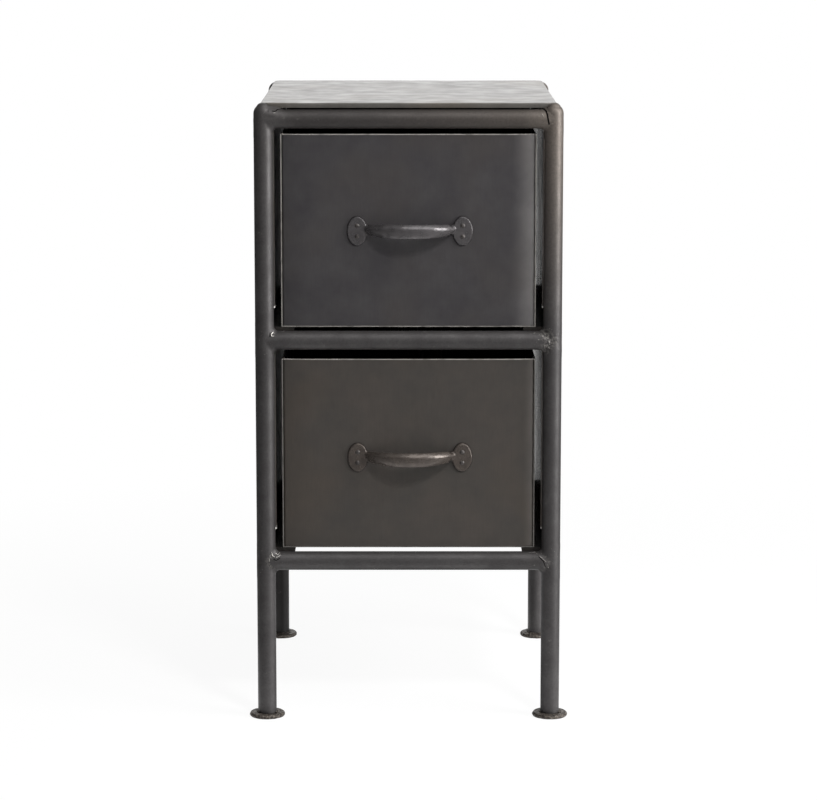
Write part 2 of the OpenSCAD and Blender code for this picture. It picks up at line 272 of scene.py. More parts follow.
def rolled_angle(name):
    """Hot-rolled angle iron with its mill scale: matt, a little brown, and painted nearly black as painted shade."""
    made, tree, where = new_material(name)
    flakes = add(tree, "TexNoise", {"Vector": where, "Scale": 1 / (5 * MM), "Detail": 4, "Roughness": 0.6})[0]
    share = add(tree, "MapRange", [flakes, 0.35, 0.7])[0]
    colour = add(tree, "Mix", {0: share, 6: linear("#131211"), 7: linear("#201d1b")}, data_type="RGBA")[2]
    bump = add(tree, "Bump", {"Strength": 0.3, "Distance": 0.1 * MM, "Height": flakes})[0]
    sheen = add(tree, "MapRange", [flakes, 0.3, 0.7, 0.9, 0.8])[0]
    shader = add(
        tree, "BsdfPrincipled", {"Base Color": colour, "Roughness": sheen, "Specular IOR Level": 0.12, "Normal": bump}
    )
    add(tree, "OutputMaterial", [shader[0]])
    return made


def forged_iron(name, dark, light, dent_mm, rough=(0.26, 0.42), worn=0.6, relief_share=0.35, flecks=(0.6, "#837e78")):
    """Hand-forged iron, scale wire-brushed off and waxed: dark, dimpled by the hammer, brighter on its high spots.

    flecks is the height from which the high spots are rubbed, and their colour. The seam attribute is 1 where
    the piece meets another, and there it is painted near-black and matt: painted shade.
    """
    made, tree, where = new_material(name)
    dents, scale = (
        add(tree, "TexNoise", {"Vector": where, "Scale": 1 / (size * MM), "Detail": 3, "Roughness": broken})[0]
        for size, broken in ((dent_mm, 0.5), (1.1, 0.65))
    )
    seam = add(tree, "Attribute", attribute_name="seam")["Fac"]
    colour = linear(dark)
    for limits, coat in (
        ([dents, 0.35, 0.7], light),
        ([scale, flecks[0], flecks[0] + 0.18, 0, worn], flecks[1]),
        ([seam, 0.15, 0.7], PAINTED_CONTACT_SHADE),
    ):
        share = add(tree, "MapRange", limits)[0]
        colour = add(tree, "Mix", {0: share, 6: colour, 7: linear(coat)}, data_type="RGBA")[2]
    sheen = add(tree, "MapRange", [dents, 0.3, 0.7, rough[1], rough[0]])[0]
    dull = add(tree, "Math", [seam, 0.4], operation="MULTIPLY")[0]
    sheen = add(tree, "Math", [sheen, dull], operation="ADD")[0]
    relief = [add(tree, "Math", layer, operation="MULTIPLY")[0] for layer in ((dents, 0.8), (scale, 0.2))]
    relief = add(tree, "Math", relief, operation="ADD")[0]
    bump = add(tree, "Bump", {"Strength": relief_share, "Distance": 0.25 * MM, "Height": relief})[0]
    shader = add(
        tree,
        "BsdfPrincipled",
        {
            "Base Color": colour,
            "Metallic": add(tree, "MapRange", [seam, 0.15, 0.7, METAL_SHARE, 0])[0],
            "Roughness": sheen,
            "Specular IOR Level": add(tree, "MapRange", [seam, 0.15, 0.7, 0.5, 0])[0],
            "Normal": bump,
        },
    )
    add(tree, "OutputMaterial", [shader[0]])
    return made


# ---------------------------------------------------------------------------
# Making pieces
# ---------------------------------------------------------------------------
def put(bm, name, material, body, stands_for=(), sharp=40, loose=False):
    """Makes a mesh in millimetres an object that rides on a body and takes the place of the named CAD nodes.

    An edge that turns by more than sharp degrees stays crisp. A loose mesh is an open sheet, which faces outwards
    as it is.
    """
    if not loose:
        bmesh.ops.recalc_face_normals(bm, faces=bm.faces)
    bmesh.ops.scale(bm, vec=(MM, MM, MM), verts=bm.verts)
    for face in bm.faces:
        face.smooth = True
    for edge in bm.edges:
        if len(edge.link_faces) == 2 and edge.calc_face_angle(0) > math.radians(sharp):
            edge.smooth = False
    mesh = bpy.data.meshes.new(name)
    bm.to_mesh(mesh)
    bm.free()
    mesh.materials.append(material)
    made = bpy.data.objects.new(name, mesh)
    bpy.context.scene.collection.objects.link(made)
    if stands_for:
        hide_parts(*stands_for)
    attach(made, body)
    return made


def noise_start(seed):
    """Where the noise of a piece starts, so that no two pieces have the same dents."""
    return Vector((17.3, 9.1, 5.7)) * seed


def beaten(bm, size, height, seed):
    """Moves each vertex along its normal by up to height, in dents about size across."""
    bm.normal_update()
    start = noise_start(seed)
    for vert in bm.verts:
        vert.co += vert.normal * height * noise.noise(vert.co / size + start)


def fused(bm, voxel, rounds):
    """The same form as one closed skin, with its joints blended by rounds of smoothing."""
    mesh = bpy.data.meshes.new("lumps")
    bm.to_mesh(mesh)
    bm.free()
    lumps = bpy.data.objects.new("lumps", mesh)
    bpy.context.scene.collection.objects.link(lumps)
    remesh = lumps.modifiers.new("skin", "REMESH")
    remesh.mode = "VOXEL"
    remesh.voxel_size = voxel
    skin = bpy.data.meshes.new_from_object(lumps.evaluated_get(bpy.context.evaluated_depsgraph_get()))
    bpy.data.objects.remove(lumps)
    made = bmesh.new()
    made.from_mesh(skin)
    for _ in range(rounds):
        bmesh.ops.smooth_vert(made, verts=made.verts, factor=0.5, use_axis_x=True, use_axis_y=True, use_axis_z=True)
    return made


def turned(profile, centre, steps):
    """A closed turned form: profile's (radius, height) points spun round an upright axis."""
    bm = bmesh.new()
    verts = [bm.verts.new((r, 0, z)) for r, z in profile]
    edges = [bm.edges.new(pair) for pair in zip(verts, verts[1:])]
    bmesh.ops.spin(
        bm, geom=verts + edges, cent=(0, 0, 0), axis=(0, 0, 1), angle=2 * math.pi, steps=steps, use_merge=True
    )
    bmesh.ops.remove_doubles(bm, verts=bm.verts, dist=0.001)
    bmesh.ops.translate(bm, vec=centre, verts=bm.verts)
    return bm


def sliced(bm, axis, places):
    """Cuts the mesh across at each place along an axis, so that it can bend there."""
    normal = [0.0, 0.0, 0.0]
    normal[axis] = 1.0
    for place in places:
        point = [place * n for n in normal]
        bmesh.ops.bisect_plane(bm, geom=bm.verts[:] + bm.edges[:] + bm.faces[:], plane_co=point, plane_no=normal)


def thickened(obj, thickness, edge_r):
    """Gives a sheet its thickness inwards, and rounds its cut edges."""
    wall = obj.modifiers.new("wall", "SOLIDIFY")
    wall.thickness = thickness * MM
    wall.offset = -1
    wall.use_even_offset = True
    edge = obj.modifiers.new("edge", "BEVEL")
    edge.width = edge_r * MM
    edge.segments = 2
    edge.limit_method = "ANGLE"
    edge.angle_limit = math.radians(50)
    edge.harden_normals = True
    return obj


# ---------------------------------------------------------------------------
# The finishes of this cabinet
# ---------------------------------------------------------------------------
upper_top, lower_top = DRAWER_Z["upper"] + DRAWER_H, DRAWER_Z["lower"] + DRAWER_H
# Both faces are lightened towards their right folds: a painted highlight.
face_finish = {
    "upper": blackened_sheet(
        "blackened_sheet_upper_face", "#3a383a", "#464445", "#44403e", [(2, upper_top, 1.0)],
        thin=(132, 26, "#8a8786", 0.8),
    ),
    "lower": blackened_sheet(
        "blackened_sheet_lower_face", "#413e3b", "#4b4642", "#4c453e", [(2, lower_top, 1.0)],
        thin=(132, 12, "#7c7773", 0.6),
    ),
}  # fmt: skip
wall_finish = {
    which: blackened_sheet(
        f"blackened_sheet_{which}_walls",
        "#3d3b3a",
        "#484645",
        "#47423f",
        [(2, DRAWER_Z[which] + DRAWER_H, 1.2), (1, DRAWER_FRONT_Y, reach)],
        rough=(0.2, 0.28),
    )
    for which, reach in (("upper", 0.4), ("lower", 0.34))
}
# Painted light: the side plates are lighter than the other sheets, the right ones most, for the light seen in the gaps
# beside the drawers. Their file-cut lower edges are partly a painted highlight.
plate_finish = {
    (which, side): blackened_sheet(
        f"blackened_sheet_{which}_{side}_plate",
        *(("#625e5a", "#6c6762", "#6a6059") if side == "right" else ("#4a4744", "#575350", "#544d47")),
        [(2, node_box(f"plate_{which}_{side}")[0].z, 2.6)],
        rough=(0.16, 0.22) if side == "right" else (0.32, 0.4),
        filed_edge_and_painted_highlight=True,
    )
    for which in ("upper", "lower")
    for side in ("left", "right")
}
back_finish = blackened_sheet("blackened_sheet_back", "#403e3c", "#4c4a48", "#4b4642")
top_finish = blackened_sheet("blackened_sheet_top", "#565350", "#66635f", "#625b53", rough=(0.34, 0.46), cloud_mm=30)
tube_finish = blackened_tube("blackened_drawn_tube", "#393737", "#464444")
joint_finish = blackened_tube("blackened_tube_joint", "#393737", "#464444", welded=True)
# The runners' angle iron is painted nearly black, as painted shade under the drawers.
angle_painted_shade_finish = rolled_angle("hot_rolled_angle_iron_painted_shade")
pull_finish = {
    "upper": forged_iron("forged_iron_upper_pull", "#454344", "#524f50", 9, (0.22, 0.3), worn=0.2, relief_share=0.1),
    "lower": forged_iron("forged_iron_lower_pull", "#453f3b", "#524b46", 7, (0.24, 0.33), worn=0.3, relief_share=0.16),
}
rivet_finish = forged_iron("forged_iron_rivet", "#353231", "#474341", 2, rough=(0.42, 0.55), worn=0.4)
foot_finish = forged_iron(
    "forged_iron_foot", "#231f1d", "#575049", 2.6, rough=(0.5, 0.64), worn=1.0, relief_share=0.9,
    flecks=(0.58, "#bab2a8"),
)  # fmt: skip

for name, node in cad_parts.items():
    which = "upper" if "upper" in name else "lower"
    if name.startswith(("leg", "rail")):
        finish = tube_finish
    elif name.startswith("foot"):
        finish = foot_finish
    elif name.startswith("runner"):
        finish = angle_painted_shade_finish
    elif name.startswith("plate"):
        finish = plate_finish[which, "right" if name.endswith("right") else "left"]
    elif name.endswith("pull"):
        finish = pull_finish[which]
    elif name.endswith("rivets"):
        finish = rivet_finish
    elif name.endswith("_front"):
        finish = face_finish[which]
    elif "drawer" in name:
        finish = wall_finish[which]
    else:
        finish = top_finish if name == "top_sheet" else back_finish
    for place in node.material_slots:
        place.material = finish


# ---------------------------------------------------------------------------
# Top sheet, with its lips bent down all round
# ---------------------------------------------------------------------------
def top_sheet():
    """The top sheet, bent down at its four sides, with a slight swell."""
    low, high = node_box("top_sheet")
    half_w, half_d, mid_y = high.x, (high.y - low.y) / 2, (high.y + low.y) / 2
    corner_r, bend_r = 6, 1.9
    side_lip_z, end_lip_z = 651.9, 653.7
    tuck = 1.7
    bm = bmesh.new()
    bmesh.ops.create_grid(bm, x_segments=1, y_segments=1, size=1)
    bmesh.ops.scale(bm, vec=(half_w, half_d, 1), verts=bm.verts)
    bmesh.ops.translate(bm, vec=(0, mid_y, TOP_Z), verts=bm.verts)
    bmesh.ops.bevel(
        bm, geom=bm.verts[:], affect="VERTICES", offset=corner_r * math.sqrt(2), segments=5, profile=0.5, material=-1
    )
    rim = bm.edges[:]
    skirt = bmesh.ops.extrude_edge_only(bm, edges=rim)["geom"]
    lip = [v for v in skirt if isinstance(v, bmesh.types.BMVert)]
    for vert in lip:
        if abs(vert.co.x) > half_w - 1:
            vert.co.z = side_lip_z
        else:
            # The front and rear lips are bent a little further than square, in under the sheet.
            vert.co.z = end_lip_z
            vert.co.y += math.copysign(tuck, mid_y - vert.co.y)
    bmesh.ops.bevel(bm, geom=rim, affect="EDGES", offset=bend_r, segments=5, profile=0.5, material=-1)
    sliced(bm, 0, range(-150, 151, 10))
    sliced(bm, 1, [mid_y + y for y in range(-180, 181, 10)])
    bm.normal_update()
    # Thin sheet between welds never lies flat: it sags and swells a little, also along its front bend. Within
    # 14 mm of a leg the weld holds it, and from 44 mm on it is free.
    leg_half_y = (REAR_Y - FRONT_Y) / 2
    for vert in bm.verts:
        at = vert.co / 85
        from_leg = math.hypot(LEG_X - abs(vert.co.x), leg_half_y - abs(vert.co.y - mid_y))
        swell = 0.35 * noise.noise(at) + 0.12 * noise.noise(at * 3.3)
        swell *= min(1, max(0, from_leg - 14) / 30)
        on_top = vert.co.z > TOP_Z - 4
        vert.co += Vector((0, swell * 0.5, swell)) if on_top else Vector((0, swell * 0.4, 0))
    return thickened(
        put(bm, "top_sheet_bent", top_finish, "frame", ["top_sheet"], loose=True), SHEET_T, 0.3
    )


top_sheet()


# ---------------------------------------------------------------------------
# Back sheet, with short tabs that are tacked to the side plates beside each rear rail
# ---------------------------------------------------------------------------
def back_sheet():
    """The back sheet, with the slots that its tabs leave open at its sides."""
    low, high = node_box("back_sheet")
    tab_x = node_box("plate_upper_right")[0].x - 0.3
    tabs = [(low.z, low.z + 22), (RAIL_Z["middle"] - 8, RAIL_Z["middle"] + 12), (high.z - 32, high.z)]
    bm = bmesh.new()
    bmesh.ops.create_grid(bm, x_segments=1, y_segments=1, size=1)
    bmesh.ops.rotate(bm, cent=(0, 0, 0), matrix=Matrix.Rotation(math.pi / 2, 3, "X"), verts=bm.verts)
    bmesh.ops.scale(bm, vec=(high.x, 1, (high.z - low.z) / 2), verts=bm.verts)
    bmesh.ops.translate(bm, vec=(0, high.y, (high.z + low.z) / 2), verts=bm.verts)
    sliced(bm, 2, [z for tab in tabs for z in tab if low.z < z < high.z])
    beside = []
    for edge in bm.edges:
        z = (edge.verts[0].co.z + edge.verts[1].co.z) / 2
        upright = abs(edge.verts[0].co.x - edge.verts[1].co.x) < 0.01
        if upright and any(bottom < z < top for bottom, top in tabs):
            beside.append(edge)
    out = bmesh.ops.extrude_edge_only(bm, edges=beside)["geom"]
    for vert in out:
        if isinstance(vert, bmesh.types.BMVert):
            vert.co.x = math.copysign(tab_x, vert.co.x)
    # Big flat sheet drums a little between its welds.
    sliced(bm, 0, range(-120, 121, 24))
    sliced(bm, 2, range(190, 640, 25))
    for vert in bm.verts:
        inside = max(0.0, 1 - (vert.co.x / high.x) ** 2)
        vert.co.y += 0.5 * inside * noise.noise(vert.co / 110)
    bmesh.ops.recalc_face_normals(bm, faces=bm.faces)
    if sum(face.normal.y for face in bm.faces) < 0:
        bmesh.ops.reverse_faces(bm, faces=bm.faces)
    return thickened(
        put(bm, "back_sheet_tabbed", back_finish, "frame", ["back_sheet"], loose=True), 1, 0.2
    )


back_sheet()


# ---------------------------------------------------------------------------
# Tube joints: each rail is welded to its leg all round, and the weld is dressed to a soft fillet
# ---------------------------------------------------------------------------
# How far a joint's tube ends reach, over how much of it they sink into the tubes, and how far they stand out
REACH = 27
SINK = 9
PROUD = 0.14
# The balls that make up a fillet
BALL_R = 2.2
# The legs' top ends are ground round, as (radius, height): the front ones reach the sheet, the rear ones stay lower
SHOULDER = {
    -1: [
        (0, 659.1), (2.5, 658.95), (4.6, 658.0), (6.4, 656.0), (7.8, 653.2), (9.0, 649.4), (9.8, 645), (10.1, 641),
        (10.14, 637), (0, 637),
    ],
    1: [
        (0, 658.2), (2.5, 657.6), (5, 655), (7, 652.5), (8.7, 649), (9.8, 645), (10.1, 641), (10.14, 637), (0, 637),
    ],
}  # fmt: skip
# How far inwards the weld metal between the rail and the sheet reaches, at the left and right corners
FILL = {-1: 14, 1: 4.6}


def rod(bm, a, b, r_a, r_b):
    """A round bar from a to b, tapering from r_a to r_b."""
    along = b - a
    turn = along.to_track_quat("Z", "Y").to_matrix().to_4x4()
    bmesh.ops.create_cone(
        bm, cap_ends=True, segments=64, radius1=r_a, radius2=r_b, depth=along.length,
        matrix=Matrix.Translation((a + b) / 2) @ turn,
    )  # fmt: skip


def stub(bm, start, way):
    """A tube's end at a joint. Its far end sinks into the tube, so that the dressed joint has no step."""
    sinks = start + way * (REACH - SINK)
    rod(bm, start, sinks, TUBE_R + PROUD, TUBE_R + PROUD)
    rod(bm, sinks, start + way * REACH, TUBE_R + PROUD, TUBE_R - 0.4)


def on_face(skin, centre, side, end, across, up):
    """The point of a joint's outer face that lies across mm from the leg's axis and up mm over the rail's, if any."""
    return skin.ray_cast(centre + Vector((-side * across, end * 30, up)), Vector((0, -end, 0)))[0]


def line_on_face(skin, centre, side, end, corners):
    """Points half a millimetre apart along a line of (across, up) corners on a joint's outer face."""
    points = []
    for (a0, u0), (a1, u1) in zip(corners, corners[1:]):
        steps = max(1, round(math.dist((a0, u0), (a1, u1)) / 0.5))
        for step in range(steps + 1):
            share = step / steps
            points.append(on_face(skin, centre, side, end, a0 + (a1 - a0) * share, u0 + (u1 - u0) * share))
    return [point for point in points if point]


def tree_of(points):
    """A tree that finds the nearest of the points."""
    tree = kdtree.KDTree(len(points))
    for number, point in enumerate(points):
        tree.insert(point, number)
    tree.balance()
    return tree


def joint(name, side, end, z, seed, marks, rough, top=False):
    """One dressed joint. marks are weld lines on its outer face, as (width, height, (across, up) corners).

    side is -1 at the left and 1 at the right, and end is -1 at the front and 1 at the rear.
    """
    rng = random.Random(seed)
    centre = Vector((side * LEG_X, REAR_Y if end > 0 else FRONT_Y, z))
    bm = bmesh.new()
    stub(bm, centre, Vector((0, 0, -1)))
    stub(bm, centre, Vector((-side, 0, 0)))
    if top:
        stub(bm, centre, Vector((0, -end, 0)))
        cap = turned(SHOULDER[end], (centre.x, centre.y, 0), 64)
        mesh = bpy.data.meshes.new("cap")
        cap.to_mesh(mesh)
        cap.free()
        bm.from_mesh(mesh)
        # Weld metal, ground flush, fills the hollow between the rails and the top sheet's corner. It runs out
        # along the rail and slopes back to the sheet's lip.
        for lift, reach in ((1.6, 1.3), (3.0, 1.1), (4.4, 0.9)):
            near = centre + Vector((-side * FILL[side] * reach * 0.35, 0, lift * 0.95))
            rod(bm, centre + Vector((0, 0, lift)), near, TUBE_R, TUBE_R)
            rod(bm, near, centre + Vector((-side * FILL[side] * reach * 1.5, 0, -0.3)), TUBE_R, TUBE_R)
        rod(
            bm, centre + Vector((0, 0, 6.2)), centre + Vector((-side * (FILL[side] + 6), -end * 3.4, 8.2)),
            TUBE_R - 0.1, 5.2,
        )  # fmt: skip
        raised = centre + Vector((0, 0, 10.4))
        rod(bm, raised, raised + Vector((0, -end * 14, 0)), 6, 5.4)
    else:
        stub(bm, centre, Vector((0, 0, 1)))
    saddle = []
    for step in range(96):
        angle = 2 * math.pi * step / 96
        up = TUBE_R * math.cos(angle)
        at = centre + Vector((-side * abs(up), end * TUBE_R * math.sin(angle), up))
        square = abs(math.cos(angle))
        if top and up > 0:
            continue
        saddle.append(at)
        if step % 2 or square < 0.3:
            continue
        # A hollow fillet in the square corners, made up of balls that stand out of the leg and of the rail
        above = math.copysign(1, up)
        rail_out = Vector((0, end * math.sin(angle), math.cos(angle)))
        leg_out = Vector((-side * square, end * math.sin(angle), 0))
        share = square**1.5 * rng.uniform(0.92, 1.05)
        spots = [at + (rail_out + leg_out) * (1.9 * share - BALL_R) * 0.7]
        for off, stands in ((1.5, 1.4), (3.0, 0.5)):
            spots.append(at + Vector((-side * off * square, 0, 0)) + rail_out * (stands * share - BALL_R))
            spots.append(at + Vector((0, 0, above * off * square)) + leg_out * (stands * share - BALL_R))
        for spot in spots:
            bmesh.ops.create_icosphere(bm, subdivisions=2, radius=BALL_R, matrix=Matrix.Translation(spot))
    # The front joints show most, so their skin is finer.
    bm = fused(bm, 0.6, 9) if end > 0 else fused(bm, 0.45, 18)
    bm.normal_update()
    seam = tree_of(saddle)
    skin = BVHTree.FromBMesh(bm)
    lines = [
        (width, height, tree_of(line_on_face(skin, centre, side, end, corners))) for width, height, corners in marks
    ]
    weld = bm.verts.layers.float.new("weld")
    start = noise_start(seed)
    # The roughest weld is also the widest.
    wide = 4.2 if rough < 1 else 8.5
    moves = []
    for vert in bm.verts:
        near = math.exp(-((seam.find(vert.co)[2] / wide) ** 2)) * min(1, rough)
        ripple = noise.noise(vert.co / 1.2 + start) * 0.28 + noise.noise(vert.co / 4 + start) * 0.25
        move = near * ripple + 0.12 * noise.noise(vert.co / 9 + start)
        shine = near * 0.7
        for width, height, line in lines:
            share = max(0.0, 1 - (line.find(vert.co)[2] / width) ** 2) ** 2
            # A crack's soot and painted shade stay in front of the tube's own surface, which lies just below.
            move += max(height, 0.1) * share * (1 + 0.5 * noise.noise(vert.co / 1.2 + start))
            if height > 0 and share > 0:
                shine = max(shine, share**0.6)
            elif height < 0 and share > 0.1:
                shine = -share
        vert[weld] = shine
        moves.append(vert.normal * move)
    ceiling = TOP_Z + 0.2
    for vert, move in zip(bm.verts, moves):
        vert.co += move
        if vert.co.z > ceiling:
            vert.co.z = ceiling
    # Spatter, on the outer face of the leg and of the rail
    for _ in range(int(22 * rough)):
        up = rng.uniform(-15, 15)
        across = rng.uniform(-6, 10) if abs(up) > 9 else rng.uniform(-8, 20)
        at = on_face(skin, centre, side, end, across, up)
        if at is None or at.z > TOP_Z - 3 or (across > 9 and abs(up) > 9):
            continue
        made = bmesh.ops.create_icosphere(
            bm, subdivisions=1, radius=rng.uniform(0.3, 0.6), matrix=Matrix.Translation(at)
        )["verts"]
        for vert in made:
            vert[weld] = 0.7
    return put(bm, name, joint_finish, "frame", sharp=180)


# Weld lines on the outer faces of the front joints, with a height below zero for an undressed crack. Each rear
# joint gets the first line of the front joint across from it.
FRONT_MARKS = {
    ("top", -1): [
        (0.8, -0.6, [(20, 10.6), (18, 10.4), (15.5, 10.2), (14.0, 8.9), (12.0, 8.4), (10.4, 8.8)]),
        (0.4, 0.3, [(13.2, 7.0), (11.4, 6.8)]),
    ],
    ("top", 1): [
        (1.2, -1.0, [(14, 10.8), (11.0, 10.4), (8.6, 8.4), (7.4, 5.0), (6.8, 1.0), (5.6, -4.6)]),
        (0.7, 0.5, [(12.6, 5.6), (11.6, 3.0)]),
        (0.7, -0.8, [(5.8, 13.0), (4.6, 11.6), (4.8, 9.4)]),
        (0.7, -0.7, [(2.2, 12.2), (1.2, 11.0), (1.6, 9.0)]),
        (0.7, -0.7, [(7.6, 12.6), (7.0, 11.6)]),
        (0.5, -0.5, [(3.4, 7.0), (2.8, 5.8)]),
    ],
    ("middle", -1): [
        (0.9, 0.8, [(10.4, 8.0), (8.6, 9.0), (7.2, 7.6), (7.8, 5.6), (9.8, 5.4)]),
        (0.7, 0.5, [(19.6, 9.4), (21.0, 10.2), (22.6, 9.6)]),
        (0.6, -0.4, [(6.2, 9.6), (6.0, 5.0)]),
    ],
    ("middle", 1): [
        (0.4, 0.3, [(13.5, 5.0), (9.5, 6.0), (5.0, 3.0), (3.2, -2.0), (4.5, -8.5)]),
        (0.4, 0.3, [(15.5, 2.0), (12.0, 2.6), (9.0, -1.5), (8.5, -7.0)]),
        (0.4, 0.3, [(23.0, 7.5), (18.0, 8.6), (14.0, 7.0)]),
        (0.6, 0.4, [(4.4, 0.2), (3.2, -0.6)]),
        (0.5, 0.4, [(4.2, -6.0), (3.4, -7.4)]),
    ],
    ("bottom", -1): [
        (0.8, 0.9, [(5.8, 10.6), (6.6, 7.4), (9.8, 5.0), (12.6, 5.6), (15.6, 7.4)]),
        (0.8, 0.6, [(10.6, 8.8), (12.4, 7.4), (14.4, 9.2)]),
        (0.6, 0.3, [(4.4, 8.0), (3.6, 2.0), (4.6, -4.0)]),
        (0.6, -0.4, [(8.4, 3.4), (11.0, 2.4), (15.0, 4.4)]),
    ],
    ("bottom", 1): [
        (0.55, 0.45, [(24.0, 9.2), (16.6, 9.6), (8.9, 4.0), (5.1, 0.5), (2.9, -6.1)]),
        (0.6, -0.4, [(13.0, 6.0), (8.0, 1.0), (6.0, -5.0)]),
    ],
}
# How rough the welds were left, from 0, dressed smooth, to 1 and over
ROUGH = {
    ("top", -1): 0.2, ("top", 1): 0.5,
    ("middle", -1): 0.35, ("middle", 1): 1.1,
    ("bottom", -1): 0.7, ("bottom", 1): 0.7,
}  # fmt: skip

for number, (height, z) in enumerate(RAIL_Z.items()):
    for side in (-1, 1):
        for end in (-1, 1):
            place = f"{'rear' if end > 0 else 'front'}_{height}_{'right' if side > 0 else 'left'}"
            marks = FRONT_MARKS[height, side] if end < 0 else FRONT_MARKS[height, -side][:1]
            joint(
                f"joint_{place}", side, end, z, 10 * number + 3 * side + end + 20, marks, ROUGH[height, side],
                height == "top",
            )  # fmt: skip


# ---------------------------------------------------------------------------
# Feet: discs cut from plate, their edges hammered over, welded under the legs
# ---------------------------------------------------------------------------
# The disc's outline as (radius, height), with the ridge that the hammer has raised round the leg
FOOT = [
    (0, 4.2), (10.8, 4.2), (11.6, 4.3), (12.8, 4.9), (14.0, 4.4), (15.6, 4.3), (17.2, 4.5), (18.5, 3.7),
    (FOOT_R, 2.5), (18.9, 1.2), (18.0, 0.1), (0, 0.0),
]  # fmt: skip


def foot(side, end, seed):
    """One hammered disc under a leg, with its weld."""
    x, y = side * LEG_X, REAR_Y if end > 0 else FRONT_Y
    bm = turned(FOOT, (x, y, 0), 56)
    bmesh.ops.subdivide_edges(bm, edges=[e for e in bm.edges if e.calc_length() > 1.4], cuts=2, use_grid_fill=True)
    rng = random.Random(seed)
    seam = bm.verts.layers.float.new("seam")
    start = Vector((seed, seed, seed))
    for vert in bm.verts:
        out = Vector((vert.co.x - x, vert.co.y - y, 0))
        # Painted shade in the open seam between the leg and the disc, on the leg's outer side.
        if out.y * end > 4 and out.length < 11.7 and vert.co.z > 1:
            vert[seam] = 1.0
        dent = noise.noise(vert.co / 6 + start)
        chip = noise.noise(vert.co / 2.3 + start)
        if vert.co.z > 0.3:
            vert.co.z += 0.35 * dent + 0.2 * chip
        vert.co -= out.normalized() * (0.9 * abs(dent) + 0.15 * chip) * out.length / FOOT_R
    # The weld runs round the leg but for its outer side, where an open seam shows between leg and disc.
    weld_r, weld_z = 10.3, 4.5
    for step in range(40):
        angle = 2 * math.pi * step / 40
        if math.sin(angle) * end > 0.45:
            continue
        at = Vector((x + weld_r * math.cos(angle), y + weld_r * math.sin(angle), weld_z))
        bmesh.ops.create_icosphere(
            bm, subdivisions=2, radius=rng.uniform(0.7, 1.15), matrix=Matrix.Translation(at)
        )
    name = f"foot_{'rear' if end > 0 else 'front'}_{'right' if side > 0 else 'left'}"
    return put(bm, name + "_hammered", foot_finish, "frame", [name], sharp=60)


for number, (side, end) in enumerate([(-1, -1), (1, -1), (-1, 1), (1, 1)]):
    foot(side, end, number + 41)


# ---------------------------------------------------------------------------
# Drawer fronts: sheet folded back at both sides, a little hollow across and rolling off towards its folds
# ---------------------------------------------------------------------------
def drawer_front(which, seed):
    """One drawer's front sheet, with its folded returns."""
    low, high = node_box(f"{which}_drawer_front")
    half_w = high.x
    bm = bmesh.new()
    corners = [(-half_w, low.y + RETURN_D), (-half_w, low.y), (half_w, low.y), (half_w, low.y + RETURN_D)]
    verts = [bm.verts.new((x, y, low.z)) for x, y in corners]
    edges = [bm.edges.new(pair) for pair in zip(verts, verts[1:])]
    raised = bmesh.ops.extrude_edge_only(bm, edges=edges)["geom"]
    bmesh.ops.translate(
        bm, vec=(0, 0, high.z - low.z), verts=[v for v in raised if isinstance(v, bmesh.types.BMVert)]
    )
    upright = [
        e for e in bm.edges
        if len(e.link_faces) == 2 and abs(e.verts[0].co.x - e.verts[1].co.x) < 0.01
    ]  # fmt: skip
    bmesh.ops.bevel(bm, geom=upright, affect="EDGES", offset=FOLD_R, segments=5, profile=0.5, material=-1)
    # The cuts lie closer together towards the folds, where the sheet rolls off.
    sliced(bm, 0, [s * x for x in (0, 20, 40, 60, 80, 96, 106, 112, 117, 121, 124.5, 127.5) for s in (-1, 1)])
    sliced(bm, 2, [low.z + h for h in range(5, 202, 9)])
    roll_w, roll_back, hollow_back, wave_back, wave_size = 32, 2.2, 0.55, 0.3, 110
    for vert in bm.verts:
        x, z = vert.co.x, vert.co.z
        towards_fold = max(0.0, 1 - (half_w - FOLD_R - abs(x)) / roll_w)
        share = (z - low.z) / DRAWER_H
        hollow = (1 - (x / half_w) ** 2) * math.sin(math.pi * min(1, max(0, share)))
        wave = noise.noise(Vector((x / wave_size, seed * 3.1, z / wave_size)))
        vert.co.y += roll_back * min(1, towards_fold) ** 2 + hollow_back * hollow + wave_back * wave
    bmesh.ops.recalc_face_normals(bm, faces=bm.faces)
    facing = [f for f in bm.faces if abs(f.normal.y) > 0.9]
    if sum(f.normal.y for f in facing) > 0:
        bmesh.ops.reverse_faces(bm, faces=bm.faces)
    return thickened(
        put(
            bm, f"{which}_drawer_face", face_finish[which], f"{which}_drawer",
            [f"{which}_drawer_front"], loose=True,
        ),
        SHEET_T,
        0.25,
    )  # fmt: skip


# ---------------------------------------------------------------------------
# Pulls: a bow forged flat in the middle, drawn to a neck at each end and set on two oval rosettes
# ---------------------------------------------------------------------------
BOW_R = 56.08
BOW_HALF_SPAN = 46
BOW_SAG = 24
BOW_HALF_ANGLE = math.asin(BOW_HALF_SPAN / BOW_R)
BOW_RISE = 1.4
BOW_HALF_T = 4
# Where the ridge runs along the bow's outer face, from -1 at its lower edge to 1 at its upper one
BOW_RIDGE = 0.3
ROSETTE_HALF_W, ROSETTE_HALF_H, ROSETTE_T = 11, 16, 2.5


def bow_height(u):
    """Half the bow's height at u, from -1 at its left foot to 1 at its right one."""
    belly = 7.75 - 2.55 * abs(u) ** 2.2
    neck = (1.5 if u > 0 else 0.3) * math.exp(-(((abs(u) - 0.92) / 0.05) ** 2))
    collar = 1.6 * math.exp(-(((abs(u) - 1.03) / 0.05) ** 2))
    return belly - neck + collar


